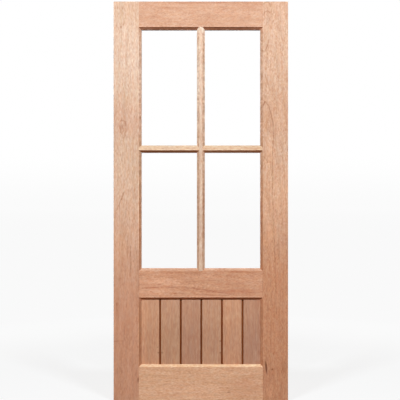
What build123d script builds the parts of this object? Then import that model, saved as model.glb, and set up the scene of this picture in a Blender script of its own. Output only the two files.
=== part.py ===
# Unglazed hardwood entrance door leaf: four open lights over a boarded lower panel.
# Millimetres, +Z up. X runs across the leaf from the hinge edge, Y through its thickness.
# The origin is on the hinge edge, at the foot of the leaf and mid-thickness; -Y is the outside face.

import os

from build123d import *

# Leaf
door_width = 864.0
door_height = 1981.0
door_thickness = 44.0
arris = 0.5  # sanded corner on the long outer edges of the stiles

# Framing members, measured on the face, without their stuck mouldings
stile_width = 125.0
top_rail_width = 126.0
lock_rail_width = 131.5
bottom_rail_width = 170.5
panel_height = 344.5  # between the faces of the bottom and lock rails
mullion_width = 16.0  # flat face of the upright glazing bar
bar_width = 13.0  # flat face of a level glazing bar

# Moulding stuck round every opening
bevel = 11.5  # 45 degree bevel, across the face and into the depth
sight_flat = 4.5  # flat behind the bevel, on the glazing lips and on the beads
panel_flat = 1.5  # flat behind the bevel, down to the boards
rebate = 2.0  # how far the glazing rebate is cut back behind the face line

# Boarded panel
board_count = 6
board_gap = 9.0  # shadow gap between two boards
board_set = 2.3  # how far right of the middle the row of gaps stands
board_arris = 1.0
tongue = 6.0
tongue_hold = 7.0  # length of tongue inside the next board
tongue_play = 1.0  # room for the tongue to move as the boards swell
panel_groove = 5.0  # groove behind the face line of stiles and rails
panel_play = 0.3  # clearance of the floating boards in their grooves

# Mortice and tenon joints
tenon = 14.0
tenon_length = 90.0
tenon_shoulder = 14.0  # set-in from the edge of the rail beside an opening
haunch = 34.0  # set-in from the head or the foot of the leaf
bar_tenon = 10.0
bar_tenon_length = 5.0
bar_tenon_shoulder = 3.0
joint_play = 0.2
joint_end_gap = 1.0

# Places that follow from the sizes above
half = door_thickness / 2
left_face = stile_width
right_face = door_width - stile_width
panel_bottom = bottom_rail_width
panel_top = panel_bottom + panel_height
light_bottom = panel_top + lock_rail_width
light_top = door_height - top_rail_width
middle_x = (left_face + right_face) / 2
middle_z = (light_bottom + light_top) / 2
lip_depth = bevel + sight_flat
panel_depth = bevel + panel_flat
board_thickness = door_thickness - 2 * (panel_depth + panel_play)


# A rectangular opening between face lines: its corners, sides and centre.
class Zone:

    def __init__(self, x0, x1, z0, z1):
        self.x0, self.x1, self.z0, self.z1 = x0, x1, z0, z1
        self.width, self.height = x1 - x0, z1 - z0
        self.cx, self.cz = (x0 + x1) / 2, (z0 + z1) / 2


panel_zone = Zone(left_face, right_face, panel_bottom, panel_top)
columns = {
    "left": (left_face, middle_x - mullion_width / 2),
    "right": (middle_x + mullion_width / 2, right_face),
}
rows = {
    "upper": (middle_z + bar_width / 2, light_top),
    "lower": (light_bottom, middle_z - bar_width / 2),
}
lights = {(row, column): Zone(*columns[column], *rows[row]) for row in rows for column in columns}


# Basic shapes


# A box between two corners.
def block(x0, x1, y0, y1, z0, z1):
    centre = Pos((x0 + x1) / 2, (y0 + y1) / 2, (z0 + z1) / 2)
    return centre * Box(x1 - x0, y1 - y0, z1 - z0)


# A strip along X with 45 degree mitres, whose profile is (rise towards the opening, depth) points.
def mitred_strip(profile, length):
    rises = [rise for rise, depth in profile]
    low, high = min(rises), max(rises)
    longest, shortest = length / 2 - low, length / 2 - high
    section = [(depth - half, rise) for rise, depth in profile]
    bar = extrude(Plane.YZ * make_face(Polyline(*section, close=True)), longest, both=True)
    outline = [(-longest, low), (longest, low), (shortest, high), (-shortest, high)]
    mitre = extrude(Plane.XZ * make_face(Polyline(*outline, close=True)), door_thickness, both=True)
    return bar & mitre


# The mitred strip that follows one side of an opening and rises towards its middle.
def on_side(zone, side, profile):
    places = {
        "bottom": (Pos(zone.cx, 0, zone.z0), 0, zone.width),
        "top": (Pos(zone.cx, 0, zone.z1), 180, zone.width),
        "left": (Pos(zone.x0, 0, zone.cz), 90, zone.height),
        "right": (Pos(zone.x1, 0, zone.cz), -90, zone.height),
    }
    place, turn, length = places[side]
    return place * Rot(0, turn, 0) * mitred_strip(profile, length)


# Mouldings: (rise from the face line, depth from the outside face)

glazing_lip = [(0, 0), (bevel, bevel), (bevel, lip_depth), (0, lip_depth)]
panel_front_lip = [(0, 0), (bevel, bevel), (bevel, panel_depth), (0, panel_depth)]
panel_back_lip = [(rise, door_thickness - depth) for rise, depth in panel_front_lip]
bead_profile = [
    (-rebate, door_thickness - lip_depth),
    (bevel, door_thickness - lip_depth),
    (bevel, door_thickness - bevel),
    (0, door_thickness),
    (-rebate, door_thickness),
]


# The rebate of one light, open to the back, which takes the glass and its beads.
def glazing_pocket(zone):
    return block(
        zone.x0 - rebate, zone.x1 + rebate, lip_depth - half, half, zone.z0 - rebate, zone.z1 + rebate
    )


# The groove round the boarded panel.
def panel_pocket():
    return block(
        panel_zone.x0 - panel_groove,
        panel_zone.x1 + panel_groove,
        panel_depth - half,
        half - panel_depth,
        panel_zone.z0 - panel_groove,
        panel_zone.z1 + panel_groove,
    )


# Works the mouldings, rebates and groove of its openings on one member.
def stick(member, light_sides=(), panel_side=None):
    for place, side in light_sides:
        member = member - glazing_pocket(lights[place])
    if panel_side:
        member = member - panel_pocket()
    for place, side in light_sides:
        member = member + on_side(lights[place], side, glazing_lip)
    if panel_side:
        member = member + on_side(panel_zone, panel_side, panel_front_lip)
        member = member + on_side(panel_zone, panel_side, panel_back_lip)
    return member


# Joints


# A rail's tenon beyond its shoulder at x_face, or its mortice where play and end_gap are given.
def rail_tenon(x_face, direction, z0, z1, play=0.0, end_gap=0.0):
    end = x_face + direction * (tenon_length + end_gap)
    depth = tenon / 2 + play
    return block(min(x_face, end), max(x_face, end), -depth, depth, z0 - play, z1 + play)


# A glazing bar's stub tenon along X from the origin, or its mortice where play is given.
def bar_stub(length, play=0.0):
    side = bar_width / 2 - bar_tenon_shoulder + play
    depth = bar_tenon / 2 + play
    return block(0, length, -depth, depth, -side, side)


rails = {
    "top": (light_top, door_height, light_top + tenon_shoulder, door_height - haunch),
    "lock": (panel_top, light_bottom, panel_top + tenon_shoulder, light_bottom - tenon_shoulder),
    "bottom": (0.0, panel_bottom, haunch, panel_bottom - tenon_shoulder),
}

# Where a bar's stub enters another member, and the way it points
stubs = {
    "left_stile": [Pos(left_face, 0, middle_z) * Rot(0, 180, 0)],
    "right_stile": [Pos(right_face, 0, middle_z)],
    "top_rail": [Pos(middle_x, 0, light_top) * Rot(0, -90, 0)],
    "lock_rail": [Pos(middle_x, 0, light_bottom) * Rot(0, 90, 0)],
    "mullion": [
        Pos(middle_x - mullion_width / 2, 0, middle_z),
        Pos(middle_x + mullion_width / 2, 0, middle_z) * Rot(0, 180, 0),
    ],
}


# Cuts the mortices for the glazing bars that end in this member.
def with_bar_mortices(member, name):
    for place in stubs[name]:
        member = member - place * bar_stub(bar_tenon_length + joint_play, joint_play)
    return member


# Members


# An upright the full height of the leaf, with its mortices and an arris on its outer edge.
def stile(name, side):
    outer, face, direction = (0.0, left_face, -1) if side == "left" else (door_width, right_face, 1)
    member = block(min(outer, face), max(outer, face), -half, half, 0, door_height)
    outer_edges = [edge for edge in member.edges().filter_by(Axis.Z) if abs(edge.center().X - outer) < arris]
    member = chamfer(outer_edges, arris)
    member = stick(member, [(("upper", side), side), (("lower", side), side)], side)
    for z0, z1, tenon_bottom, tenon_top in rails.values():
        member = member - rail_tenon(face, direction, tenon_bottom, tenon_top, joint_play, joint_end_gap)
    return with_bar_mortices(member, name)


# A rail between the stiles, with a tenon at each end.
def rail(name, light_sides, panel_side):
    z0, z1, tenon_bottom, tenon_top = rails[name]
    member = stick(block(left_face, right_face, -half, half, z0, z1), light_sides, panel_side)
    member = member + rail_tenon(left_face, -1, tenon_bottom, tenon_top)
    member = member + rail_tenon(right_face, 1, tenon_bottom, tenon_top)
    return with_bar_mortices(member, name + "_rail") if light_sides else member


# The upright glazing bar, unbroken between the top and lock rails.
def mullion():
    member = block(
        middle_x - mullion_width / 2, middle_x + mullion_width / 2, -half, half, light_bottom, light_top
    )
    inner_side = {"left": "right", "right": "left"}
    member = stick(member, [(place, inner_side[place[1]]) for place in lights])
    member = with_bar_mortices(member, "mullion")
    for name in ("top_rail", "lock_rail"):
        member = member + stubs[name][0] * bar_stub(bar_tenon_length)
    return member


# A level glazing bar between a stile and the mullion.
def cross_bar(column, ends):
    x0, x1 = columns[column]
    member = block(x0, x1, -half, half, middle_z - bar_width / 2, middle_z + bar_width / 2)
    member = stick(member, [(("upper", column), "bottom"), (("lower", column), "top")])
    for place in ends:
        member = member + place * bar_stub(bar_tenon_length)
    return member


# An upright board with a tongue on its right edge and a slot in its left; the outer edges stay plain.
def board(index):
    pitch, start = panel_zone.width / board_count, panel_zone.x0 + board_set
    first, last = index == 0, index == board_count - 1
    reach = panel_groove - panel_play
    x0 = panel_zone.x0 - reach if first else start + index * pitch + board_gap / 2
    x1 = panel_zone.x1 + reach if last else start + (index + 1) * pitch - board_gap / 2
    face, lip, slot = board_thickness / 2, tongue / 2, tongue / 2 + joint_play
    tip = x1 + board_gap + tongue_hold
    slot_end = x0 + tongue_hold + tongue_play
    right = [(x1, face)] if last else [(x1, lip), (tip, lip), (tip, -lip), (x1, -lip)]
    left = [(x0, -face)] if first else [(x0, -slot), (slot_end, -slot), (slot_end, slot), (x0, slot)]
    right_edge = [(x1, -face)] if last else [(x1, -face + board_arris), (x1 - board_arris, -face)]
    left_edge = [(x0, face)] if first else [(x0, face - board_arris), (x0 + board_arris, face)]
    right_start = [] if last else [(x1 - board_arris, face), (x1, face - board_arris)]
    left_start = [] if first else [(x0 + board_arris, -face), (x0, -face + board_arris)]
    outline = right_start + right + right_edge + left_start + left + left_edge
    height = panel_zone.height + 2 * reach
    return extrude(Plane.XY.offset(panel_zone.z0 - reach) * make_face(Polyline(*outline, close=True)), height)


# Writes one sub-part, which has to be a single solid.
def save(name, shape):
    solid = shape.solid() if len(shape.solids()) == 1 else shape
    solid.label = name
    export_step(solid, os.path.join("parts", name + ".step"))
    print(name, len(shape.solids()), round(shape.volume))


def main():
    os.makedirs("parts", exist_ok=True)
    save("left_stile", stile("left_stile", "left"))
    save("right_stile", stile("right_stile", "right"))
    upper = [(("upper", column), "top") for column in columns]
    lower = [(("lower", column), "bottom") for column in columns]
    save("top_rail", rail("top", upper, None))
    save("lock_rail", rail("lock", lower, "top"))
    save("bottom_rail", rail("bottom", [], "bottom"))
    save("mullion_bar", mullion())
    save("left_cross_bar", cross_bar("left", [stubs["left_stile"][0], stubs["mullion"][0]]))
    save("right_cross_bar", cross_bar("right", [stubs["right_stile"][0], stubs["mullion"][1]]))
    for index in range(board_count):
        save(f"panel_board_{index + 1}", board(index))
    for (row, column), zone in lights.items():
        for side in ("top", "bottom", "left", "right"):
            save(f"{row}_{column}_bead_{side}", on_side(zone, side, bead_profile))


main()
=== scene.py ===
import math

import bmesh
import bpy
import numpy as np
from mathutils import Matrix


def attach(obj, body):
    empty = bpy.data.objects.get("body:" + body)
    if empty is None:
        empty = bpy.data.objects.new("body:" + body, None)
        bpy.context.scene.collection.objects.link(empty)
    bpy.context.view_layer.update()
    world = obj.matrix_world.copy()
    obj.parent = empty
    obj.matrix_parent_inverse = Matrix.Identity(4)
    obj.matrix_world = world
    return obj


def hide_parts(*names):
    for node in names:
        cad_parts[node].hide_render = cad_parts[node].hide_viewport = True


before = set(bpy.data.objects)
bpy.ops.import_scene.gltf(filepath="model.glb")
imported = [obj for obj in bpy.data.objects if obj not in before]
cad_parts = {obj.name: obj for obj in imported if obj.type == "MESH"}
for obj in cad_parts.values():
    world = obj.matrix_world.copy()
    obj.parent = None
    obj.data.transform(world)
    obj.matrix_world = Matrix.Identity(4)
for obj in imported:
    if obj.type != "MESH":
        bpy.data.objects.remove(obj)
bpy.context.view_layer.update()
print("frame loaded:", len(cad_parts), "nodes")

scene = bpy.context.scene
scene.view_settings.view_transform = "Standard"

# The leaf's own sizes in metres, as the solids have them
leaf = dict(width=0.864, height=1.981, thickness=0.044, stile=0.125, topRail=0.126, lockRail=0.1315,
            bottomRail=0.1705, panel=0.3445, mullion=0.016, bar=0.013, bevel=0.0115, sightFlat=0.0045,
            panelFlat=0.0015, rebate=0.002, groove=0.005)

half = leaf["thickness"] / 2
bevel = leaf["bevel"]
leftFace, rightFace = leaf["stile"], leaf["width"] - leaf["stile"]
panelFoot = leaf["bottomRail"]
panelHead = panelFoot + leaf["panel"]
lightFoot = panelHead + leaf["lockRail"]
lightHead = leaf["height"] - leaf["topRail"]
midX, midZ = (leftFace + rightFace) / 2, (lightFoot + lightHead) / 2
halfMullion, halfBar = leaf["mullion"] / 2, leaf["bar"] / 2
columns = dict(left=(leftFace, midX - halfMullion), right=(midX + halfMullion, rightFace))
rows = dict(upper=(midZ + halfBar, lightHead), lower=(lightFoot, midZ - halfBar))


# Shapes

weld, hair = 1e-6, 1e-9  # distances in metres that count as none


def closedLoft(name, rings):
    # A closed skin over an array of (stations, points, xyz) rings, with a flat cap at each end
    stations, points = rings.shape[:2]
    index = np.arange(stations * points).reshape(stations, points)
    here, there = index[:-1], index[1:]
    quads = np.stack([here, np.roll(here, -1, 1), np.roll(there, -1, 1), there], axis=-1).reshape(-1, 4)
    faces = quads.tolist() + [index[0, ::-1].tolist(), index[-1].tolist()]
    mesh = bpy.data.meshes.new(name)
    mesh.from_pydata(rings.reshape(-1, 3).tolist(), [], faces)
    work = bmesh.new()
    work.from_mesh(mesh)
    bmesh.ops.remove_doubles(work, verts=work.verts, dist=weld)
    bmesh.ops.dissolve_degenerate(work, edges=work.edges, dist=weld)
    bmesh.ops.recalc_face_normals(work, faces=work.faces)
    work.to_mesh(mesh)
    work.free()
    piece = bpy.data.objects.new(name, mesh)
    scene.collection.objects.link(piece)
    return piece


arris = dict(width=0.0004, segments=2, angle=25)


def easeArrises(piece):
    # Sandpaper has taken the sharpness off every edge
    ease = piece.modifiers.new("sandedArrises", "BEVEL")
    ease.width = arris["width"]
    ease.segments = arris["segments"]
    ease.limit_method = "ANGLE"
    ease.angle_limit = math.radians(arris["angle"])


# An edge is eight (rise, depth) points from the outside face to the inside face. Its two bevels end at
# the points 1 and 6. The glazing rebate begins at the depth lip, and the panel groove at the depth board.
outerFoot, innerFoot = 1, 6
lip, board = bevel + leaf["sightFlat"], bevel + leaf["panelFlat"]
thick, rebate, groove = leaf["thickness"], leaf["rebate"], leaf["groove"]
squareEdge = np.array([(0, 0)] * 4 + [(0, thick)] * 4, float)
lightEdge = np.array([(0, 0), (bevel, bevel), (bevel, lip), (-rebate, lip)] + [(-rebate, thick)] * 4)
panelEdge = np.array([(0, 0), (bevel, bevel), (bevel, board), (-groove, board), (-groove, thick - board),
                      (bevel, thick - board), (bevel, thick - bevel), (0, thick)])


def edgeSection(stations, zones):
    # Rise and depth of an edge at every station. In a zone the moulding rises no further than its
    # distance to the zone's nearer end, which mitres it at 45 degrees. Elsewhere the edge is square.
    section = np.repeat(squareEdge[None], len(stations), axis=0)
    for edge, start, end in zones:
        inside = (stations >= start - hair) & (stations <= end + hair)
        reach = np.minimum(stations - start, end - stations)[:, None]
        full = edge[:, 0]
        rise = np.where(full > 0, np.minimum(full, reach), full * np.clip(reach / bevel, 0, 1))
        depth = np.repeat(edge[None, :, 1], len(stations), axis=0)
        depth[:, outerFoot] = np.minimum(depth[:, outerFoot], reach[:, 0])
        if edge is panelEdge:
            depth[:, innerFoot] = np.maximum(depth[:, innerFoot], thick - reach[:, 0])
        section[inside] = np.stack([rise, depth], axis=-1)[inside]
    return section


def framingMember(name, start, end, low, high, lowZones=(), highZones=(), upright=False):
    # A straight member from start to end whose section runs from low to high across the face.
    # The section is carried along the stations where a moulding begins, is full, or ends.
    marks = [start, end]
    for edge, first, last in [*lowZones, *highZones]:
        marks += [first, first + bevel, last - bevel, last]
    stations = np.unique(np.round(marks, 7))
    lowEdge, highEdge = edgeSection(stations, lowZones), edgeSection(stations, highZones)
    across = np.concatenate([high + highEdge[..., 0], (low - lowEdge[..., 0])[:, ::-1]], axis=1)
    depth = np.concatenate([highEdge[..., 1], lowEdge[:, ::-1, 1]], axis=1) - half
    along = np.broadcast_to(stations[:, None], across.shape)
    order = (across, depth, along) if upright else (along, depth, across)
    return closedLoft(name, np.stack(order, axis=-1))


beadEdge = np.array([(-rebate, thick - lip), (bevel, thick - lip), (bevel, thick - bevel), (0, thick),
                     (-rebate, thick)])


def glazingBead(name, side, column, row):
    # The bead's profile between two 45 degree mitres: the further it rises, the shorter it is
    (x0, x1), (z0, z1) = columns[column], rows[row]
    start, end = (x0, x1) if side in ("top", "bottom") else (z0, z1)
    rise, depth = beadEdge[:, 0], beadEdge[:, 1] - half
    along = np.stack([start + rise, end - rise])
    inward = dict(bottom=z0 + rise, top=z1 - rise, left=x0 + rise, right=x1 - rise)[side]
    across, depth = np.broadcast_to(inward, along.shape), np.broadcast_to(depth, along.shape)
    order = (along, depth, across) if side in ("top", "bottom") else (across, depth, along)
    return closedLoft(name, np.stack(order, axis=-1))


boards = dict(count=6, gap=0.009, set=0.0023, arris=0.001, tongue=0.006, hold=0.007, play=0.001,
              clear=0.0003, slotClear=0.0002)


def panelBoard(name, number):
    # The board's plan, a tongue on its right and a slot in its left, carried up the panel
    pitch, reach = (rightFace - leftFace) / boards["count"], groove - boards["clear"]
    start = leftFace + boards["set"]
    first, last = number == 0, number == boards["count"] - 1
    x0 = leftFace - reach if first else start + number * pitch + boards["gap"] / 2
    x1 = rightFace + reach if last else start + (number + 1) * pitch - boards["gap"] / 2
    face, tongue, ease = half - board - boards["clear"], boards["tongue"] / 2, boards["arris"]
    slot, tip = tongue + boards["slotClear"], x1 + boards["gap"] + boards["hold"]
    inner = x0 + boards["hold"] + boards["play"]
    rightSide = [(x1, face), (x1, -face)]
    leftSide = [(x0, -face), (x0, face)]
    if not last:
        rightSide = [(x1 - ease, face), (x1, face - ease), (x1, tongue), (tip, tongue), (tip, -tongue),
                     (x1, -tongue), (x1, -face + ease), (x1 - ease, -face)]
    if not first:
        leftSide = [(x0 + ease, -face), (x0, -face + ease), (x0, -slot), (inner, -slot), (inner, slot),
                    (x0, slot), (x0, face - ease), (x0 + ease, face)]
    plan = np.array(rightSide + leftSide)
    heights = np.array([panelFoot - reach, panelHead + reach])
    levels = np.repeat(heights[:, None, None], len(plan), axis=1)
    rings = np.concatenate([np.repeat(plan[None], len(heights), axis=0), levels], axis=-1)
    return closedLoft(name, rings)


pieces = {}


def fit(piece, node):
    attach(piece, "root")
    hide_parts(node)
    easeArrises(piece)
    pieces[node] = piece


lightZones = [(lightEdge, *rows["lower"]), (lightEdge, *rows["upper"])]
sideZones = [(panelEdge, panelFoot, panelHead), *lightZones]
acrossZones = [(lightEdge, *columns["left"]), (lightEdge, *columns["right"])]
panelZone = [(panelEdge, leftFace, rightFace)]

fit(framingMember("leftStile", 0, leaf["height"], 0, leftFace, [], sideZones, True),
    "left_stile")
fit(framingMember("rightStile", 0, leaf["height"], rightFace, leaf["width"], sideZones, [], True),
    "right_stile")
fit(framingMember("topRail", leftFace, rightFace, lightHead, leaf["height"], acrossZones),
    "top_rail")
fit(framingMember("lockRail", leftFace, rightFace, panelHead, lightFoot, panelZone, acrossZones),
    "lock_rail")
fit(framingMember("bottomRail", leftFace, rightFace, 0, panelFoot, [], panelZone), "bottom_rail")
fit(framingMember("mullionBar", lightFoot, lightHead, midX - halfMullion, midX + halfMullion,
                  lightZones, lightZones, True), "mullion_bar")
for column, (x0, x1) in columns.items():
    zone = [(lightEdge, x0, x1)]
    fit(framingMember(column + "CrossBar", x0, x1, midZ - halfBar, midZ + halfBar, zone, zone),
        column + "_cross_bar")
for number in range(boards["count"]):
    fit(panelBoard(f"panelBoard{number + 1}", number), f"panel_board_{number + 1}")
for row in rows:
    for column in columns:
        for side in ("top", "bottom", "left", "right"):
            name = row + column.capitalize() + "Bead" + side.capitalize()
            fit(glazingBead(name, side, column, row), f"{row}_{column}_bead_{side}")
print("pieces built:", len(pieces))


# Wood

def linear(r, g, b):
    # An sRGB colour, 0 to 255, as Blender's linear colour
    c = np.array([r, g, b]) / 255
    return (*np.where(c <= 0.04045, c / 12.92, ((c + 0.055) / 1.055) ** 2.4), 1.0)


def node(tree, kind, inputs=None, **settings):
    # One node, with its inputs given as values or as the sockets that feed them
    made = tree.nodes.new("ShaderNode" + kind)
    for key, value in settings.items():
        setattr(made, key, value)
    for key, value in (inputs or {}).items():
        if isinstance(value, bpy.types.NodeSocket):
            tree.links.new(value, made.inputs[key])
        else:
            made.inputs[key].default_value = value
    return made


def calc(tree, operation, *values):
    return node(tree, "Math", dict(enumerate(values)), operation=operation).outputs[0]


def stretch(tree, vector, across, along):
    # Coordinates squeezed across the grain and drawn out along it
    return node(tree, "VectorMath", {0: vector, 1: (across, across, along)}, operation="MULTIPLY").outputs[0]


def cloud(tree, vector, seed, detail=2.0):
    # Soft noise about 0.5. Each seed gives another pattern.
    inputs = {"Vector": vector, "W": seed, "Scale": 1.0, "Detail": detail, "Roughness": 0.55}
    return node(tree, "TexNoise", inputs, noise_dimensions="4D").outputs["Fac"]


def spread(tree, value, low, high, toLow=0.0, toHigh=1.0):
    # A soft step: toLow up to low, toHigh from high on
    inputs = {"Value": value, "From Min": low, "From Max": high, "To Min": toLow, "To Max": toHigh}
    return node(tree, "MapRange", inputs, interpolation_type="SMOOTHSTEP").outputs[0]


def blend(tree, factor, first, second, how="MIX"):
    inputs = {0: factor, 6: first, 7: second}
    return node(tree, "Mix", inputs, data_type="RGBA", blend_type=how).outputs[2]


def tinted(tree, mask, colour, tint):
    # The colour, multiplied by the tint where the mask is 1
    return blend(tree, mask, colour, blend(tree, 1.0, colour, tint, "MULTIPLY"))


def shaderGroup(name, inputs, outputs):
    group = bpy.data.node_groups.new(name, "ShaderNodeTree")
    for title, kind in inputs.items():
        group.interface.new_socket(name=title, in_out="INPUT", socket_type="NodeSocket" + kind)
    for title, kind in outputs.items():
        group.interface.new_socket(name=title, in_out="OUTPUT", socket_type="NodeSocket" + kind)
    return group, group.nodes.new("NodeGroupInput").outputs, group.nodes.new("NodeGroupOutput").inputs


# What the layers of the grain multiply the timber's tone by
grainTints = dict(pale=(1.2, 1.43, 1.5, 1), deep=(0.8, 0.57, 0.5, 1), warm=(1.02, 0.99, 0.95, 1),
                  cool=(0.98, 1.01, 1.05, 1), pore=(0.62, 0.47, 0.38, 1))


def makeGrain():
    # Sawn hardwood in grain space (across, depth, along): long streaks, growth rings round a leaning
    # pith, mottle, short pore flecks and fine fibre, laid over two tones of the same timber
    tree, given, gives = shaderGroup(
        "hardwoodGrain",
        {"Vector": "Vector", "Seed": "Float", "Pale": "Color", "Deep": "Color", "Streaks": "Float",
         "Flecks": "Float", "Mottle": "Float", "Waver": "Float", "Rings": "Float", "Ring Pitch": "Float",
         "Pith": "Vector", "Lean": "Vector"},
        {"Color": "Color", "Height": "Float", "Roughness": "Float"})
    seed = given["Seed"]

    def layer(vector, across, along, offset, detail=2.0):
        # So many changes to the metre across and along the grain. The offset keeps the layers apart.
        return cloud(tree, stretch(tree, vector, across, along), calc(tree, "ADD", seed, offset), detail)

    sway = calc(tree, "SUBTRACT", layer(given["Vector"], 7.0, 2.2, 0.0), 0.5)
    bend = calc(tree, "MULTIPLY", sway, given["Waver"])
    shift = node(tree, "CombineXYZ", {"X": bend, "Y": bend}).outputs[0]
    bent = node(tree, "VectorMath", {0: given["Vector"], 1: shift}, operation="ADD").outputs[0]
    streak = spread(tree, layer(bent, 48.0, 3.5, 11.0, 3.0), 0.34, 0.66)
    fleck = spread(tree, layer(bent, 210.0, 30.0, 23.0), 0.54, 0.68)
    mottle = calc(tree, "SUBTRACT", layer(bent, 190.0, 62.0, 37.0), 0.5)
    fibre = calc(tree, "SUBTRACT", layer(bent, 480.0, 9.0, 41.0), 0.5)
    tinge = spread(tree, layer(bent, 95.0, 24.0, 53.0), 0.3, 0.7)
    # Rings: distance to the pith line, which leans away from the board as it runs along it
    along = node(tree, "SeparateXYZ", {0: bent}).outputs["Z"]
    pith = node(tree, "VectorMath", {0: given["Lean"], "Scale": along}, operation="SCALE").outputs[0]
    pith = node(tree, "VectorMath", {0: pith, 1: given["Pith"]}, operation="ADD").outputs[0]
    arm = node(tree, "VectorMath", {0: bent, 1: pith}, operation="SUBTRACT").outputs[0]
    arm = node(tree, "VectorMath", {0: arm, 1: (1, 1, 0)}, operation="MULTIPLY").outputs[0]
    radius = node(tree, "VectorMath", {0: arm}, operation="LENGTH").outputs["Value"]
    turns = calc(tree, "DIVIDE", radius, given["Ring Pitch"])
    turns = calc(tree, "ADD", turns, calc(tree, "MULTIPLY", mottle, 0.9))
    ring = calc(tree, "SINE", calc(tree, "MULTIPLY", turns, 2 * math.pi))
    ring = calc(tree, "MULTIPLY_ADD", ring, 0.5, 0.5)
    depth = calc(tree, "ADD", calc(tree, "MULTIPLY", streak, given["Streaks"]),
                 calc(tree, "MULTIPLY", calc(tree, "MULTIPLY", ring, ring), given["Rings"]))
    tone = blend(tree, depth, given["Pale"], given["Deep"])
    grit = calc(tree, "ADD", calc(tree, "MULTIPLY", fibre, 0.6), mottle)
    grit = calc(tree, "MULTIPLY_ADD", grit, given["Mottle"], 0.5)
    grit = blend(tree, grit, grainTints["pale"], grainTints["deep"])
    tone = blend(tree, 1.0, tone, grit, "MULTIPLY")
    tinge = blend(tree, tinge, grainTints["warm"], grainTints["cool"])
    tone = blend(tree, 1.0, tone, tinge, "MULTIPLY")
    tone = tinted(tree, calc(tree, "MULTIPLY", fleck, given["Flecks"]), tone, grainTints["pore"])
    tree.links.new(tone, gives["Color"])
    tree.links.new(calc(tree, "SUBTRACT", calc(tree, "MULTIPLY", fibre, 0.5), fleck), gives["Height"])
    tree.links.new(calc(tree, "MULTIPLY_ADD", fibre, 0.25, calc(tree, "MULTIPLY_ADD", fleck, 0.12, 0.58)),
                   gives["Roughness"])
    return tree


def makeSeam():
    # A soft line: the distance to the stretch between two places on the face, fading with depth
    tree, given, gives = shaderGroup(
        "seam", {"Vector": "Vector", "From": "Vector", "To": "Vector", "Width": "Float"}, {"Mask": "Float"})
    reach = node(tree, "VectorMath", {0: given["To"], 1: given["From"]}, operation="SUBTRACT").outputs[0]
    arm = node(tree, "VectorMath", {0: given["Vector"], 1: given["From"]}, operation="SUBTRACT").outputs[0]
    arm = node(tree, "VectorMath", {0: arm, 1: (1, 0.2, 1)}, operation="MULTIPLY").outputs[0]
    ahead = node(tree, "VectorMath", {0: arm, 1: reach}, operation="DOT_PRODUCT").outputs["Value"]
    whole = node(tree, "VectorMath", {0: reach, 1: reach}, operation="DOT_PRODUCT").outputs["Value"]
    share = node(tree, "Clamp", {"Value": calc(tree, "DIVIDE", ahead, whole)}).outputs[0]
    nearest = node(tree, "VectorMath", {0: reach, "Scale": share}, operation="SCALE").outputs[0]
    gap = node(tree, "VectorMath", {0: arm, 1: nearest}, operation="DISTANCE").outputs["Value"]
    tree.links.new(spread(tree, calc(tree, "DIVIDE", gap, given["Width"]), 0.1, 1.0, 1.0, 0.0), gives["Mask"])
    return tree


def makeBlemish():
    # A soft-edged spot, in coordinates where it is the unit ball
    tree, given, gives = shaderGroup("blemish", {"Vector": "Vector", "Edge": "Float"}, {"Mask": "Float"})
    radius = node(tree, "VectorMath", {0: given["Vector"]}, operation="LENGTH").outputs["Value"]
    rough = cloud(tree, stretch(tree, given["Vector"], 1.7, 1.7), 9.0)
    radius = calc(tree, "MULTIPLY_ADD", calc(tree, "SUBTRACT", rough, 0.5), 0.6, radius)
    tree.links.new(spread(tree, radius, given["Edge"], 1.0, 1.0, 0.0), gives["Mask"])
    return tree


def makePaintedGrooveShade():
    # How far a point lies behind the face of the boards: the grooves there get painted shade
    tree, given, gives = shaderGroup(
        "paintedGrooveShade", {"Vector": "Vector", "Face": "Float", "Floor": "Float"}, {"Mask": "Float"})
    depth = calc(tree, "ABSOLUTE", node(tree, "SeparateXYZ", {0: given["Vector"]}).outputs["Y"])
    fade = node(tree, "MapRange", {"Value": depth, "From Min": given["Floor"], "From Max": given["Face"],
                                   "To Min": 1.0, "To Max": 0.0}).outputs[0]
    tree.links.new(fade, gives["Mask"])
    return tree


def makePaintedLightFacing():
    # Which surfaces turn sideways, up or down, and which sideways ones are bevels: masks for painted light, a
    # paler painted highlight where a surface looks up and painted shade where it looks sideways or down
    tree, given, gives = shaderGroup("paintedLightFacing", {"Normal": "Vector"},
                                     {"Side": "Float", "Bevel": "Float", "Up": "Float", "Under": "Float"})
    facing = node(tree, "SeparateXYZ", {0: given["Normal"]}).outputs
    sideways = calc(tree, "ABSOLUTE", facing["X"])
    side = spread(tree, sideways, 0.3, 0.65)
    tree.links.new(side, gives["Side"])
    tree.links.new(calc(tree, "MULTIPLY", side, spread(tree, sideways, 0.8, 0.95, 1.0, 0.0)), gives["Bevel"])
    tree.links.new(spread(tree, facing["Z"], 0.3, 0.65), gives["Up"])
    tree.links.new(spread(tree, calc(tree, "MULTIPLY", facing["Z"], -1.0), 0.3, 0.65), gives["Under"])
    return tree


grainGroup, seamGroup, blemishGroup = makeGrain(), makeSeam(), makeBlemish()
paintedGrooveShadeGroup, paintedLightFacingGroup = makePaintedGrooveShade(), makePaintedLightFacing()


def placed(tree, group, inputs):
    return node(tree, "Group", inputs, node_tree=group).outputs


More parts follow.
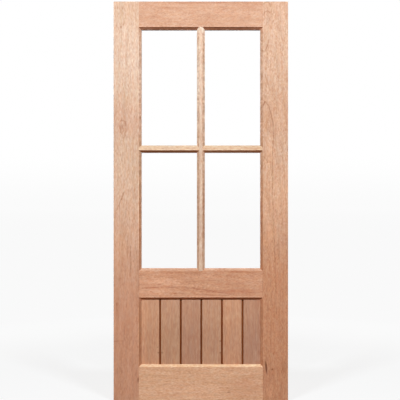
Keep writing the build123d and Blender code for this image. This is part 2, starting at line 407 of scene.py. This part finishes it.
def layMarks(tree, colour, place, away, marks, depth=0.03):
    # Soft spots on the outside face, fading within the given depth behind it. Some are the timber's own tone
    # and knots, others painted highlights and painted shade.
    for mark in marks:
        (x, z), (halfWidth, halfHeight) = mark["at"], mark["size"]
        spot = node(tree, "Mapping", {
            "Vector": place, "Location": (x, -half, z), "Scale": (halfWidth, depth, halfHeight),
            "Rotation": (0, math.radians(mark.get("turn", 0)), 0)}, vector_type="TEXTURE").outputs[0]
        mask = placed(tree, blemishGroup, {"Vector": spot, "Edge": mark.get("edge", 0.1)})["Mask"]
        if "on" in mark:  # kept to the surfaces that turn that way
            mask = calc(tree, "MULTIPLY", mask, away[mark["on"]])
        colour = tinted(tree, mask, colour, (*mark["tint"], 1))
    return colour


unsteady = dict(scale=45.0, sway=0.008, across=75.0, along=45.0, faintest=0.3)


def laySeams(tree, colour, place, seams, seed):
    # Listed lines of the figure, unsteady by a millimetre or two and fainter in places
    noise = {"Vector": place, "Scale": unsteady["scale"], "Detail": 1.0}
    sway = node(tree, "TexNoise", noise).outputs["Color"]
    sway = node(tree, "VectorMath", {0: sway, 1: (0.5, 0.5, 0.5)}, operation="SUBTRACT").outputs[0]
    sway = node(tree, "VectorMath", {0: sway, "Scale": unsteady["sway"]}, operation="SCALE").outputs[0]
    swayed = node(tree, "VectorMath", {0: place, 1: sway}, operation="ADD").outputs[0]
    broken = cloud(tree, stretch(tree, place, unsteady["across"], unsteady["along"]), seed)
    broken = spread(tree, broken, 0.32, 0.6, unsteady["faintest"], 1.0)
    for seam in seams:
        corners = [(x / 1000, -half, z / 1000) for x, z in seam["along"]]
        line = 0.0
        for first, last in zip(corners, corners[1:]):
            ends = {"Vector": swayed, "From": first, "To": last, "Width": seam["width"]}
            line = calc(tree, "MAXIMUM", placed(tree, seamGroup, ends)["Mask"], line)
        line = calc(tree, "MULTIPLY", line, broken)
        colour = tinted(tree, line, colour, (*seam["tint"], 1))
    return colour


cutter = dict(across=30.0, along=85.0, deep=(0.84, 0.78, 0.73, 1), pale=(1.16, 1.2, 1.22, 1), low=0.25,
              high=midZ + 0.1)


def patchBevels(tree, colour, place, turned, away, seed):
    # The cutter that ran the side bevels left them patchy along the upper lights, and less so lower down
    patch = cloud(tree, stretch(tree, turned, cutter["across"], cutter["along"]), seed + 5.0, 1.0)
    patch = blend(tree, spread(tree, patch, 0.3, 0.7), cutter["deep"], cutter["pale"])
    height = node(tree, "SeparateXYZ", {0: place}).outputs["Z"]
    share = spread(tree, height, panelHead, cutter["high"], cutter["low"], 1.0)
    return tinted(tree, calc(tree, "MULTIPLY", away["Bevel"], share), colour, patch)


sawnEnd = dict(tint=(0.62, 0.5, 0.42, 1), share=0.6)
bareWood = dict(specular=0.12, relief=0.12, reliefDepth=0.0004)


def timber(name, piece, look):
    # One piece's own timber: its grain runs along the piece, from the piece's middle
    skin = bpy.data.materials.new(name)
    skin.use_nodes = True
    tree = skin.node_tree
    surface = tree.nodes["Principled BSDF"]
    place = node(tree, "TexCoord").outputs["Object"]
    corners = np.array([corner[:] for corner in piece.bound_box])
    cx, cy, cz = (corners.min(0) + corners.max(0)) / 2
    upright = look["grain"] == "up"
    if upright:
        turned = node(tree, "Mapping", {"Vector": place, "Location": (-cx, -cy, -cz)}).outputs[0]
    else:
        turned = node(tree, "Mapping", {"Vector": place, "Location": (cz, -cy, -cx),
                                        "Rotation": (0, -math.pi / 2, 0)}).outputs[0]
    pale = node(tree, "RGB").outputs[0]
    pale.default_value = linear(*look["pale"])
    deep = node(tree, "RGB").outputs[0]
    deep.default_value = linear(*look["deep"])
    mottle = look["mottle"]
    if "foot" in look:  # darker and redder towards the foot of the piece: painted shade that deepens the lamps' falloff
        along = node(tree, "SeparateXYZ", {0: turned}).outputs["Z"]
        down = spread(tree, along, *look["turn"], 1.0, 0.0)
        pale = blend(tree, down, pale, linear(*look["foot"]))
        deep = blend(tree, down, deep, linear(*look["footDeep"]))
        mottle = calc(tree, "MULTIPLY_ADD", down, look["footMottle"] - look["mottle"], look["mottle"])
    drawn = node(tree, "Mapping", {"Vector": turned, "Scale": (1, 1, look["pull"])}).outputs[0]
    grain = placed(tree, grainGroup, {
        "Vector": drawn, "Seed": look["seed"], "Pale": pale, "Deep": deep, "Streaks": look["streaks"],
        "Flecks": look["flecks"], "Mottle": mottle, "Waver": look["waver"], "Rings": look["rings"],
        "Ring Pitch": look["pitch"], "Pith": look["pith"], "Lean": look["lean"]})
    normal = node(tree, "NewGeometry").outputs["Normal"]
    away = placed(tree, paintedLightFacingGroup, {"Normal": normal})
    colour = layMarks(tree, grain["Color"], place, away, look.get("marks", ()))
    if "seams" in look:
        colour = laySeams(tree, colour, place, look["seams"], look["seed"])
    # Painted shade in the grooves between the boards
    if "paintedGrooveShade" in look:
        face, ground = look["paintedGrooveShade"]
        mask = placed(tree, paintedGrooveShadeGroup, {"Vector": place, "Face": face, "Floor": ground})["Mask"]
        colour = tinted(tree, mask, colour, look["paintedGrooveShadeTint"])
    colour = patchBevels(tree, colour, place, turned, away, look["seed"])
    # Painted light and shade by facing: painted shade on surfaces that look sideways or down, a paler painted
    # highlight on those that look up
    for way in ("Side", "Up", "Under"):
        colour = tinted(tree, away[way], colour, (*look[way.lower() + "Tint"], 1))
    # Sawn ends are darker than the long grain
    facing = node(tree, "SeparateXYZ", {0: normal}).outputs
    endwise = calc(tree, "ABSOLUTE", facing["Z" if upright else "X"])
    colour = tinted(tree, spread(tree, endwise, 0.9, 0.99, 0.0, sawnEnd["share"]), colour, sawnEnd["tint"])
    tree.links.new(colour, surface.inputs["Base Color"])
    tree.links.new(grain["Roughness"], surface.inputs["Roughness"])
    surface.inputs["Specular IOR Level"].default_value = bareWood["specular"]
    relief = node(tree, "Bump", {"Strength": bareWood["relief"], "Distance": bareWood["reliefDepth"],
                                 "Height": grain["Height"]})
    tree.links.new(relief.outputs[0], surface.inputs["Normal"])
    piece.data.materials.append(skin)


# The side, up and under tints are painted shade on surfaces turned sideways or down and a painted highlight
# on those turned up
timberLook = dict(pull=1.0, streaks=0.45, flecks=0.35, mottle=0.9, waver=0.02, rings=0.25, pitch=0.016,
                  pith=(0.02, 0.09, 0), lean=(0.03, 0.02, 0), sideTint=(0.95, 0.86, 0.8),
                  upTint=(0.87, 1.0, 1.07), underTint=(1.05, 0.7, 0.48))

# Tones are sRGB. Marks are (x, z) places on the face, with half sizes in metres and a turn in degrees.
# Seams run along places in millimetres, with a half width in metres. Tints multiply the timber's colour.
darkSeam, softSeam = (0.74, 0.62, 0.55), (0.86, 0.78, 0.73)
leftStileLook = dict(
    timberLook, grain="up", seed=3.1, pale=(218, 185, 161), deep=(200, 165, 139), foot=(212, 158, 129),
    footDeep=(196, 141, 112), turn=(-0.62, 0.2), mottle=1.25, footMottle=0.8,
    marks=[dict(at=(0.06, 1.726), size=(0.3, 0.26), tint=(1.04, 1.1, 1.16)),
           dict(at=(0.06, 1.394), size=(0.3, 0.14), tint=(0.96, 0.9, 0.9)),
           dict(at=(0.06, 0.993), size=(0.3, 0.36), tint=(1.06, 1.05, 1.05)),
           dict(at=(0.03, 0.75), size=(0.05, 0.15), tint=(1.08, 1.07, 1.03)),
           dict(at=(0.03, 1.93), size=(0.05, 0.09), tint=(0.95, 0.97, 0.97)),
           # Painted highlight: pale strips on the face beside the inner bevel
           dict(at=(0.1235, 0.93), size=(0.005, 0.36), tint=(1.25, 1.32, 1.36)),
           dict(at=(0.1235, 1.56), size=(0.005, 0.34), tint=(1.08, 1.12, 1.16)),
           dict(at=(0.1235, 0.35), size=(0.005, 0.22), tint=(1.18, 1.21, 1.18)),
           # Painted light and shade on the inner bevel: paler in the upper light, darker lower down
           dict(at=(0.134, 1.55), size=(0.04, 0.36), on="Side", tint=(1.16, 1.26, 1.38)),
           dict(at=(0.134, 0.92), size=(0.04, 0.36), on="Side", tint=(0.88, 0.77, 0.68)),
           dict(at=(0.134, 0.35), size=(0.04, 0.3), on="Side", tint=(0.8, 0.84, 0.78)),
           dict(at=(0.036, 1.8553), size=(0.006, 0.009), tint=(0.7, 0.54, 0.48)),
           dict(at=(0.098, 0.695), size=(0.004, 0.008), tint=(0.72, 0.6, 0.54)),
           dict(at=(0.0162, 0.483), size=(0.009, 0.013), tint=(0.78, 0.66, 0.6)),
           dict(at=(0.0534, 0.344), size=(0.0045, 0.07), tint=(0.84, 0.75, 0.7)),
           dict(at=(0.1215, 0.106), size=(0.006, 0.02), tint=(0.52, 0.38, 0.3))],
    seams=[dict(along=[(15, 1860), (28, 1837)], width=0.0045, tint=softSeam),
           dict(along=[(38, 1855), (54, 1873), (59, 1920)], width=0.005, tint=softSeam),
           dict(along=[(44, 1949), (43, 1925)], width=0.004, tint=softSeam),
           dict(along=[(62, 1718), (62, 1648)], width=0.005, tint=softSeam),
           dict(along=[(50, 1632), (49, 1610)], width=0.0045, tint=softSeam),
           dict(along=[(46, 1303), (34, 1340), (29, 1385), (39, 1394), (60, 1387), (66, 1355), (49, 1301)],
                width=0.005, tint=(0.84, 0.75, 0.7)),
           dict(along=[(30, 1370), (35, 1335), (45, 1305), (53, 1308), (63, 1345)], width=0.0045,
                tint=softSeam),
           dict(along=[(44, 1365), (47, 1335)], width=0.004, tint=softSeam),
           dict(along=[(53, 1037), (35, 995), (23, 965), (14, 948)], width=0.0045, tint=darkSeam),
           dict(along=[(50, 1030), (38, 1003)], width=0.0045, tint=darkSeam),
           dict(along=[(0, 297), (45, 299)], width=0.0035, tint=softSeam),
           dict(along=[(82, 770), (85, 690), (83, 621)], width=0.005, tint=darkSeam),
           dict(along=[(70, 819), (69, 710)], width=0.0045, tint=softSeam)])
timber("leftStileTimber", pieces["left_stile"], leftStileLook)

rightStileLook = dict(
    timberLook, grain="up", seed=8.4, pull=1.5, pale=(214, 177, 152), deep=(195, 154, 126),
    foot=(208, 151, 118), footDeep=(191, 134, 100), turn=(-0.62, 0.2), streaks=0.35, rings=0.35, pitch=0.02,
    pith=(-0.05, 0.04, 0), lean=(0.01, 0.07, 0), mottle=1.4, footMottle=1.15,
    marks=[dict(at=(0.8, 1.731), size=(0.3, 0.26), tint=(1.02, 1.05, 1.07)),
           dict(at=(0.8, 1.404), size=(0.3, 0.16), tint=(0.99, 0.945, 0.92)),
           dict(at=(0.8, 1.023), size=(0.3, 0.25), tint=(1.09, 1.035, 0.98)),
           dict(at=(0.8, 0.661), size=(0.3, 0.2), tint=(1.0, 0.955, 0.91)),
           # Painted light and shade on the inner bevel: paler by the upper light and the panel, darker by the
           # lower light
           dict(at=(0.73, 1.55), size=(0.04, 0.36), on="Side", tint=(1.1, 1.22, 1.34)),
           dict(at=(0.73, 0.92), size=(0.04, 0.36), on="Side", tint=(0.87, 0.8, 0.76)),
           dict(at=(0.73, 0.34), size=(0.04, 0.2), on="Side", tint=(0.98, 1.1, 1.17)),
           dict(at=(0.7522, 1.508), size=(0.012, 0.018), tint=(0.82, 0.72, 0.66)),
           dict(at=(0.756, 1.375), size=(0.012, 0.07), tint=(0.94, 0.87, 0.8)),
           dict(at=(0.772, 1.22), size=(0.05, 0.12), tint=(1.08, 1.03, 0.98)),
           dict(at=(0.77, 0.825), size=(0.05, 0.11), tint=(1.08, 1.04, 0.99)),
           dict(at=(0.77, 0.042), size=(0.04, 0.045), tint=(1.11, 1.13, 1.15)),
           dict(at=(0.845, 0.165), size=(0.025, 0.06), tint=(0.84, 0.79, 0.76)),
           dict(at=(0.748, 0.8), size=(0.014, 0.035), tint=(1.12, 1.16, 1.18)),
           dict(at=(0.765, 1.899), size=(0.03, 0.045), tint=(0.9, 0.87, 0.88)),
           dict(at=(0.7715, 1.338), size=(0.004, 0.006), tint=(0.7, 0.56, 0.48)),
           dict(at=(0.7557, 0.17), size=(0.0062, 0.046), turn=-6.5, edge=0.3, tint=(0.36, 0.29, 0.27)),
           dict(at=(0.786, 0.159), size=(0.0085, 0.008), tint=(0.5, 0.38, 0.32)),
           dict(at=(0.7385, 0.071), size=(0.004, 0.005), tint=(0.45, 0.36, 0.32))],
    seams=[dict(along=[(741, 1968), (750, 1977), (762, 1978), (773, 1971), (777, 1957)], width=0.0045,
                tint=(0.8, 0.7, 0.64)),
           dict(along=[(740, 1915), (750, 1929), (762, 1935), (774, 1927)], width=0.0045,
                tint=(0.8, 0.7, 0.64)),
           dict(along=[(783, 1930), (788, 1885), (782, 1848)], width=0.0045, tint=softSeam),
           dict(along=[(741, 1825), (748, 1816), (757, 1824)], width=0.004, tint=softSeam),
           dict(along=[(768, 1791), (763, 1761), (745, 1733), (739, 1738)], width=0.0045, tint=darkSeam),
           dict(along=[(763, 1729), (755, 1642)], width=0.0045, tint=softSeam),
           dict(along=[(777, 1692), (782, 1638)], width=0.0045, tint=softSeam),
           dict(along=[(753, 1612), (772, 1553), (775, 1533)], width=0.0045, tint=softSeam),
           dict(along=[(742, 1467), (750, 1487), (766, 1467), (780, 1426), (790, 1376), (792, 1329)],
                width=0.0045, tint=darkSeam),
           dict(along=[(792, 1329), (785, 1122), (787, 998)], width=0.0045, tint=darkSeam),
           dict(along=[(787, 998), (800, 690), (805, 542)], width=0.0045, tint=(0.8, 0.71, 0.65)),
           dict(along=[(743, 1466), (751, 1486)], width=0.005, tint=darkSeam),
           dict(along=[(824, 1974), (829, 1880), (827, 1776), (834, 1619), (842, 1372)], width=0.011,
                tint=(0.96, 0.93, 0.91)),
           dict(along=[(745, 1212), (763, 1184)], width=0.004, tint=darkSeam)])
timber("rightStileTimber", pieces["right_stile"], rightStileLook)

topRailLook = dict(
    timberLook, grain="level", seed=14.2, pull=1.8, pale=(208, 166, 140), deep=(192, 145, 117),
    # The under tint here paints the soffit's shade lighter and redder than elsewhere
    underTint=(1.28, 0.94, 0.8), mottle=1.05,
    marks=[dict(at=(0.43, 1.975), size=(0.42, 0.009), tint=(0.86, 0.77, 0.73)),
           # Painted highlight along the face just above the soffit's arris
           dict(at=(0.43, 1.8575), size=(0.6, 0.004), tint=(1.08, 1.1, 1.12)),
           dict(at=(0.28, 1.8575), size=(0.22, 0.006), tint=(1.08, 1.1, 1.12)),
           # Painted shade on the soffit, darkest at its arris
           dict(at=(0.43, 1.854), size=(0.6, 0.008), on="Under", tint=(0.62, 0.57, 0.53)),
           dict(at=(0.59, 1.855), size=(0.22, 0.005), on="Under", tint=(0.72, 0.64, 0.58)),
           # Painted highlight on the downward surfaces at the back of the soffit
           dict(at=(0.43, 1.8405), size=(0.6, 0.0055), on="Under", tint=(2.2, 2.1, 2.1)),
           dict(at=(0.279, 1.9495), size=(0.16, 0.007), tint=(0.92, 0.84, 0.8)),
           dict(at=(0.195, 1.905), size=(0.06, 0.006), tint=(0.92, 0.84, 0.8)),
           dict(at=(0.289, 1.88), size=(0.08, 0.006), tint=(0.93, 0.87, 0.84)),
           dict(at=(0.165, 1.914), size=(0.035, 0.025), tint=(1.09, 1.13, 1.15)),
           dict(at=(0.705, 1.91), size=(0.035, 0.03), tint=(1.06, 1.13, 1.16)),
           dict(at=(0.67, 1.954), size=(0.06, 0.012), tint=(0.92, 0.84, 0.8))])
timber("topRailTimber", pieces["top_rail"], topRailLook)

lockRailLook = dict(
    timberLook, grain="level", seed=21.7, pull=1.5, pale=(219, 167, 136), deep=(198, 142, 110),
    # The up tint here is a painted highlight on the upward bevels
    upTint=(0.89, 1.01, 1.12), mottle=1.3,
    marks=[dict(at=(0.2045, 0.5765), size=(0.17, 0.08), tint=(1.12, 1.13, 1.15)),
           dict(at=(0.289, 0.638), size=(0.2, 0.009), tint=(0.95, 0.9, 0.86)),
           # Painted shade on the lock rail's upward bevel
           dict(at=(0.43, 0.646), size=(0.6, 0.006), on="Up", tint=(0.9, 0.83, 0.77)),
           dict(at=(0.62, 0.545), size=(0.2, 0.016), tint=(0.9, 0.78, 0.74)),
           dict(at=(0.62, 0.64), size=(0.14, 0.01), tint=(0.88, 0.77, 0.71)),
           dict(at=(0.41, 0.636), size=(0.04, 0.02), tint=(0.88, 0.83, 0.8)),
           # Painted highlight along the face above the lower arris
           dict(at=(0.43, 0.5175), size=(0.6, 0.004), tint=(1.18, 1.22, 1.26)),
           dict(at=(0.2, 0.532), size=(0.12, 0.007), tint=(1.08, 1.09, 1.1)),
           dict(at=(leftFace, 0.579), size=(0.0035, 0.07), tint=(0.68, 0.58, 0.5)),
           dict(at=(rightFace, 0.579), size=(0.0035, 0.07), tint=(0.68, 0.58, 0.5))],
    seams=[dict(along=[(142, 562), (340, 568), (395, 562), (475, 548), (534, 540), (594, 530)], width=0.005,
                tint=(0.8, 0.67, 0.63)),
           dict(along=[(300, 536), (470, 528), (560, 523)], width=0.0045, tint=softSeam)])
timber("lockRailTimber", pieces["lock_rail"], lockRailLook)

bottomRailLook = dict(
    timberLook, grain="level", seed=27.9, pull=1.3, pale=(232, 184, 150), deep=(218, 167, 131), flecks=0.25,
    # The up tint here is a painted highlight on the upward bevel
    upTint=(0.99, 1.14, 1.16), mottle=1.3,
    marks=[dict(at=(0.358, 0.045), size=(0.36, 0.07), tint=(1.07, 1.08, 1.11)),
           dict(at=(0.66, 0.07), size=(0.14, 0.1), tint=(0.94, 0.88, 0.87)),
           dict(at=(0.5713, 0.0461), size=(0.014, 0.0035), tint=(0.58, 0.46, 0.38))])
timber("bottomRailTimber", pieces["bottom_rail"], bottomRailLook)

mullionLook = dict(
    timberLook, grain="up", seed=33.3, pale=(226, 198, 176), deep=(209, 176, 151), flecks=0.5, mottle=1.3,
    # Painted light and shade on the bevels: paler up in the lights and at the head, darker lower down; the
    # pale face spot at the head is a painted highlight too
    marks=[dict(at=(0.415, 1.56), size=(0.025, 0.36), on="Side", tint=(1.24, 1.49, 1.72)),
           dict(at=(0.449, 1.56), size=(0.012, 0.36), on="Side", tint=(1.14, 1.24, 1.3)),
           dict(at=(0.432, 0.95), size=(0.05, 0.3), on="Side", tint=(0.93, 0.9, 0.89)),
           dict(at=(0.449, 0.95), size=(0.012, 0.3), on="Side", tint=(0.92, 0.8, 0.74)),
           dict(at=(0.432, 1.835), size=(0.04, 0.045), on="Side", tint=(1.14, 1.2, 1.28)),
           dict(at=(0.424, 1.843), size=(0.034, 0.022), on="Side", edge=0.5, tint=(1.28, 1.42, 1.5)),
           dict(at=(0.432, 1.843), size=(0.04, 0.022), edge=0.5, tint=(1.04, 1.14, 1.2)),
           dict(at=(0.432, 1.74), size=(0.04, 0.12), on="Side", tint=(1.09, 1.14, 1.16)),
           dict(at=(0.432, 0.79), size=(0.006, 0.15), tint=(1.13, 1.15, 1.18)),
           dict(at=(0.4255, 1.06), size=(0.004, 0.16), tint=(0.88, 0.82, 0.8)),
           dict(at=(0.444, 1.781), size=(0.004, 0.012), tint=(0.72, 0.58, 0.48)),
           dict(at=(0.444, 1.739), size=(0.004, 0.016), tint=(0.66, 0.52, 0.42)),
           dict(at=(0.4445, 1.716), size=(0.004, 0.012), tint=(0.72, 0.58, 0.48))])
timber("mullionTimber", pieces["mullion_bar"], mullionLook)

# The bars' up and under tints are a painted highlight on their upper bevels and painted shade under them
barLook = dict(timberLook, grain="level", upTint=(0.8, 0.86, 0.88), mottle=1.3)
# A painted highlight along the lower arris of each bar
paintedArrisHighlight = dict(size=(0.4, 0.0032), tint=(1.15, 1.18, 1.22))
crossBarLooks = dict(left=dict(barLook, seed=38.8, pale=(231, 200, 170), deep=(215, 178, 148),
                               underTint=(0.79, 0.41, 0.26), marks=[dict(paintedArrisHighlight, at=(0.28, 1.246))]),
                     right=dict(barLook, seed=44.6, pale=(225, 192, 161), deep=(209, 171, 139),
                                underTint=(1.03, 0.62, 0.46), marks=[dict(paintedArrisHighlight, at=(0.585, 1.246))]))
for column, look in crossBarLooks.items():
    timber(column + "CrossBarTimber", pieces[column + "_cross_bar"], look)

# The first two are knots; the third is a painted highlight at a board's head, under the lock rail
pinKnot, faintKnot, paintedHeadHighlight = (0.5, 0.38, 0.3), (0.6, 0.48, 0.4), (1.1, 1.12, 1.16)
# Each board's foot tone is painted shade, darker towards its foot
boardLooks = [
    dict(pale=(217, 167, 135), deep=(203, 151, 119), foot=(209, 156, 124),
         marks=[dict(at=(0.2215, 0.239), size=(0.008, 0.009), tint=pinKnot),
                dict(at=(0.2185, 0.266), size=(0.006, 0.007), tint=faintKnot)]),
    dict(pale=(208, 162, 133), deep=(194, 146, 117), foot=(200, 152, 122), paintedGrooveShadeTint=(0.35, 0.17, 0.068, 1),
         marks=[dict(at=(0.2405, 0.239), size=(0.0085, 0.009), tint=pinKnot),
                dict(at=(0.2987, 0.492), size=(0.04, 0.03), tint=paintedHeadHighlight)]),
    dict(pale=(201, 155, 128), deep=(188, 139, 112), foot=(193, 145, 119)),
    dict(pale=(208, 162, 133), deep=(194, 146, 117), foot=(201, 153, 124), paintedGrooveShadeTint=(0.41, 0.205, 0.09, 1),
         marks=[dict(at=(0.5293, 0.239), size=(0.009, 0.009), tint=pinKnot),
                dict(at=(0.5293, 0.297), size=(0.0085, 0.008), tint=pinKnot)]),
    dict(pale=(217, 167, 135), deep=(203, 151, 119), foot=(208, 155, 124)),
    dict(pale=(200, 154, 128), deep=(187, 139, 112), foot=(192, 144, 119))]
# The groove depths and groove tint paint shade into the grooves between the boards
boardLook = dict(timberLook, grain="up", pull=0.62, flecks=0.2, mottle=0.95, footMottle=0.95,
                 turn=(-0.02, 0.1), paintedGrooveShade=(0.0085, 0.0032), paintedGrooveShadeTint=(0.36, 0.2, 0.1, 1))
for number, own in enumerate(boardLooks):
    seed, footDeep = 50.0 + 7.3 * number, tuple(0.93 * tone for tone in own["foot"])
    look = {**boardLook, "seed": seed, "footDeep": footDeep, **own}
    timber(f"panelBoard{number + 1}Timber", pieces[f"panel_board_{number + 1}"], look)

beadLook = dict(timberLook, pale=(219, 180, 150), deep=(202, 158, 126))
beads = {name: piece for name, piece in pieces.items() if "_bead_" in name}
for number, (name, piece) in enumerate(beads.items()):
    grain = "level" if name.endswith(("top", "bottom")) else "up"
    timber(piece.name + "Timber", piece, dict(beadLook, grain=grain, seed=120.0 + 3.7 * number))
print("timber ready:", len(bpy.data.materials), "materials")


# Studio

camera = dict(x=0.5, middle=0.4279, height=0.9978, distance=4.0, pixelsPerMetre=201.9, picture=400, sensor=36)
eye = bpy.data.cameras.new("camera")
eye.sensor_width = camera["sensor"]
eye.lens = camera["pixelsPerMetre"] * camera["distance"] * camera["sensor"] / camera["picture"]
# The camera stands a little right of the leaf's middle and its lens is shifted back to it
eye.shift_x = (camera["middle"] - camera["x"]) * camera["pixelsPerMetre"] / camera["picture"]
eyeObject = bpy.data.objects.new("camera", eye)
eyeObject.location = (camera["x"], -half - camera["distance"], camera["height"])
eyeObject.rotation_euler = (math.radians(90), 0, 0)
scene.collection.objects.link(eyeObject)
scene.camera = eyeObject


def softbox(name, place, aim, size, power):
    lamp = bpy.data.lights.new(name, "AREA")
    lamp.shape = "RECTANGLE"
    lamp.size, lamp.size_y = size
    lamp.energy = power
    lampObject = bpy.data.objects.new(name, lamp)
    lampObject.location = place
    direction = np.array(aim) - np.array(place)
    lampObject.rotation_euler = (math.atan2(math.hypot(direction[0], direction[1]), -direction[2]), 0,
                                 math.atan2(direction[1], direction[0]) - math.pi / 2)
    scene.collection.objects.link(lampObject)
    return lampObject


# The shade of the room is warm, so the floor's paint is a little cool and looks plain white under it.
# Distances on the floor are measured from its middle, under the leaf.
# The floor's glow also carries a faint band of painted shade from 1.6 m out
studio = dict(middle=0.43, floor=120, paint=(0.88, 0.95, 1.0), floorBounce=0.06, shadow=(1.2, 2.9),
              shadowShare=0.2, paintedFloorShade=0.052, paintedFloorShadeFrom=(1.6, 3.2), paintedFloorShadeEases=(12.0, 90.0), eased=0.3, horizon=0.963,
              skyline=(-0.01, 0.06), shade=(0.13, 0.088, 0.058))

# Two equal keys stand high in front, one to each side, and look over the top of the leaf
keys = dict(aside=3.18, front=5.5, height=5.7, aim=6.5, size=(1.45, 1.45), power=560)
for name, way in dict(leftKey=-1, rightKey=1).items():
    softbox(name, (studio["middle"] + way * keys["aside"], -keys["front"], keys["height"]),
            (studio["middle"], 0, keys["aim"]), keys["size"], keys["power"])


def seenRays(tree):
    # 1 for the rays that show the studio itself: straight to the camera, mirrored or through glass
    rays = node(tree, "LightPath").outputs
    return calc(tree, "MAXIMUM", calc(tree, "MAXIMUM", rays["Is Camera Ray"], rays["Is Glossy Ray"]),
                rays["Is Transmission Ray"])


reach = studio["floor"]
floorMesh = bpy.data.meshes.new("floor")
corners = [(-reach, -reach, 0), (reach, -reach, 0), (reach, reach, 0), (-reach, reach, 0)]
floorMesh.from_pydata(corners, [], [(0, 1, 2, 3)])
floor = bpy.data.objects.new("floor", floorMesh)
scene.collection.objects.link(floor)

# A fill behind the leaf shows its inside face. The floor does without it, and the camera does not see it.
fill = dict(behind=5.5, height=1.3, aim=1.0, size=(3.0, 2.0), power=230)
backFill = softbox("backFill", (studio["middle"], fill["behind"], fill["height"]),
                   (studio["middle"], 0, fill["aim"]), fill["size"], fill["power"])
backFill.visible_camera = False
unfilled = bpy.data.collections.new("unfilled")
unfilled.objects.link(floor)
unfilled.collection_objects[0].light_linking.link_state = "EXCLUDE"
backFill.light_linking.receiver_collection = unfilled

# The floor takes the leaf's shadow near the leaf and runs out into plain white
paint = bpy.data.materials.new("paleFloor")
paint.use_nodes = True
tree = paint.node_tree
tree.nodes.remove(tree.nodes["Principled BSDF"])
seen = seenRays(tree)
away = node(tree, "Mapping", {"Vector": node(tree, "TexCoord").outputs["Object"],
                              "Location": (-studio["middle"], 0, 0)}).outputs[0]
away = node(tree, "VectorMath", {0: away}, operation="LENGTH").outputs["Value"]
# Painted shade: the floor's glow dims from 1.6 m to 3.2 m out and eases back a little towards the horizon
paintedFloorShade = calc(tree, "SUBTRACT", spread(tree, away, *studio["paintedFloorShadeEases"], 0.0, studio["eased"]),
           spread(tree, away, *studio["paintedFloorShadeFrom"]))
bright = calc(tree, "MULTIPLY_ADD", paintedFloorShade, studio["paintedFloorShade"], 1.0)
glow = node(tree, "Emission", {"Color": (1, 1, 1, 1), "Strength": bright}).outputs[0]
tone = blend(tree, seen, (*[studio["floorBounce"]] * 3, 1), (*studio["paint"], 1))
matt = node(tree, "BsdfDiffuse", {"Color": tone}).outputs[0]
share = spread(tree, away, *studio["shadow"], 1 - studio["shadowShare"], 1.0)
share = calc(tree, "MULTIPLY", seen, share)
mixed = node(tree, "MixShader", {0: share, 1: matt, 2: glow}).outputs[0]
tree.links.new(mixed, tree.nodes["Material Output"].inputs["Surface"])
floorMesh.materials.append(paint)

world = bpy.data.worlds.new("studio")
scene.world = world
world.use_nodes = True
tree = world.node_tree
backdrop = tree.nodes["Background"]
# White overhead, a shade deeper where it meets the floor
rise = node(tree, "SeparateXYZ", {0: node(tree, "TexCoord").outputs["Generated"]}).outputs["Z"]
sky = blend(tree, spread(tree, rise, *studio["skyline"]), (*[studio["horizon"]] * 3, 1), (1, 1, 1, 1))
tree.links.new(blend(tree, seenRays(tree), (*studio["shade"], 1), sky), backdrop.inputs["Color"])
backdrop.inputs["Strength"].default_value = 1.0
print("studio ready")
